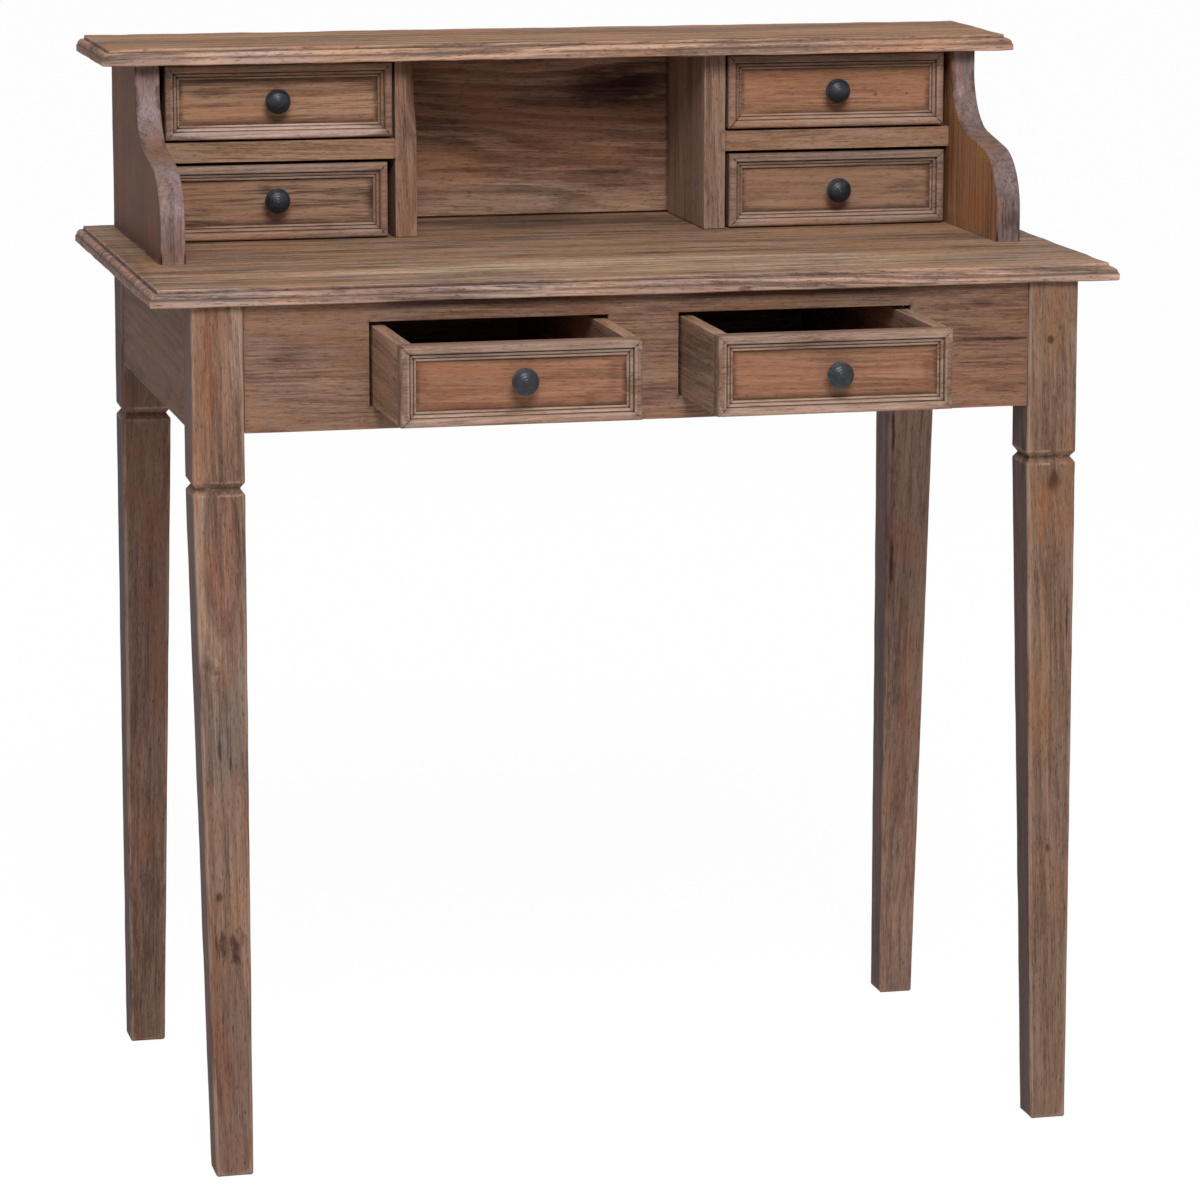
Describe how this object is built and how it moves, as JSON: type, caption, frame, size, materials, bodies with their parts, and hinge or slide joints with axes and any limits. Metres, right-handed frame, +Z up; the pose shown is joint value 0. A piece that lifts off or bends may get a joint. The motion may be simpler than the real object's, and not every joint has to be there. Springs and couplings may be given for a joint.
{
  "type": "writing desk with hutch",
  "caption": "Small solid-wood writing desk on tapered legs, with drawers under the top and a low hutch of small drawers and an open compartment on its back edge.",
  "frame": {"origin": "on the floor, midway across the desk and midway between the knobs of the pulled table drawers and the back edge of the table top", "axes": "+Z up, -Y the front where the sitter is, +X to the sitter's right"},
  "size_m": [0.85, 0.6104, 0.947],
  "materials": {
    "table_wood": "thin grey-brown wash, rubbed back and waxed",
    "hutch_wood": "thin grey-brown wash, rubbed back and waxed",
    "panel_wood": "clear wax on warm brown wood",
    "moulding_wood": "rubbed grey-brown wash with worn crests",
    "box_wood": "plain planed wood",
    "knob_iron": "dark slate patina, slightly polished"
  },
  "bodies": {
    "desk": {"table_top": "table_wood", "leg_front_left": "table_wood", "leg_front_right": "table_wood", "leg_rear_left": "table_wood", "leg_rear_right": "table_wood", "front_apron": "table_wood", "back_apron": "table_wood", "side_apron_left": "table_wood", "side_apron_right": "table_wood", "runner_left_outer": "box_wood", "runner_left_inner": "box_wood", "runner_right_inner": "box_wood", "runner_right_outer": "box_wood", "kicker_left": "box_wood", "kicker_right": "box_wood", "hutch_side_left": "hutch_wood", "hutch_side_right": "hutch_wood", "partition_left": "hutch_wood", "partition_right": "hutch_wood", "shelf_left": "hutch_wood", "shelf_right": "hutch_wood", "hutch_back": "hutch_wood", "hutch_top": "hutch_wood"},
    "table_drawer_left": {"table_drawer_left_front": "panel_wood", "table_drawer_left_moulding": "moulding_wood", "table_drawer_left_sides": "box_wood", "table_drawer_left_back": "box_wood", "table_drawer_left_bottom": "box_wood", "table_drawer_left_knob": "knob_iron"},
    "table_drawer_right": {"table_drawer_right_front": "panel_wood", "table_drawer_right_moulding": "moulding_wood", "table_drawer_right_sides": "box_wood", "table_drawer_right_back": "box_wood", "table_drawer_right_bottom": "box_wood", "table_drawer_right_knob": "knob_iron"},
    "hutch_drawer_upper_left": {"hutch_drawer_upper_left_front": "panel_wood", "hutch_drawer_upper_left_moulding": "moulding_wood", "hutch_drawer_upper_left_sides": "box_wood", "hutch_drawer_upper_left_back": "box_wood", "hutch_drawer_upper_left_bottom": "box_wood", "hutch_drawer_upper_left_knob": "knob_iron"},
    "hutch_drawer_lower_left": {"hutch_drawer_lower_left_front": "panel_wood", "hutch_drawer_lower_left_moulding": "moulding_wood", "hutch_drawer_lower_left_sides": "box_wood", "hutch_drawer_lower_left_back": "box_wood", "hutch_drawer_lower_left_bottom": "box_wood", "hutch_drawer_lower_left_knob": "knob_iron"},
    "hutch_drawer_upper_right": {"hutch_drawer_upper_right_front": "panel_wood", "hutch_drawer_upper_right_moulding": "moulding_wood", "hutch_drawer_upper_right_sides": "box_wood", "hutch_drawer_upper_right_back": "box_wood", "hutch_drawer_upper_right_bottom": "box_wood", "hutch_drawer_upper_right_knob": "knob_iron"},
    "hutch_drawer_lower_right": {"hutch_drawer_lower_right_front": "panel_wood", "hutch_drawer_lower_right_moulding": "moulding_wood", "hutch_drawer_lower_right_sides": "box_wood", "hutch_drawer_lower_right_back": "box_wood", "hutch_drawer_lower_right_bottom": "box_wood", "hutch_drawer_lower_right_knob": "knob_iron"}
  },
  "joints": [
    {"name": "table_drawer_left_slide", "type": "slide", "parent": "desk", "child": "table_drawer_left", "axis": [0, -1, 0], "range_m": [-0.125, 0.12]},
    {"name": "table_drawer_right_slide", "type": "slide", "parent": "desk", "child": "table_drawer_right", "axis": [0, -1, 0], "range_m": [-0.125, 0.12]},
    {"name": "hutch_drawer_upper_left_slide", "type": "slide", "parent": "desk", "child": "hutch_drawer_upper_left", "axis": [0, -1, 0], "range_m": [0, 0.1]},
    {"name": "hutch_drawer_lower_left_slide", "type": "slide", "parent": "desk", "child": "hutch_drawer_lower_left", "axis": [0, -1, 0], "range_m": [0, 0.1]},
    {"name": "hutch_drawer_upper_right_slide", "type": "slide", "parent": "desk", "child": "hutch_drawer_upper_right", "axis": [0, -1, 0], "range_m": [0, 0.1]},
    {"name": "hutch_drawer_lower_right_slide", "type": "slide", "parent": "desk", "child": "hutch_drawer_lower_right", "axis": [0, -1, 0], "range_m": [0, 0.1]}
  ]
}
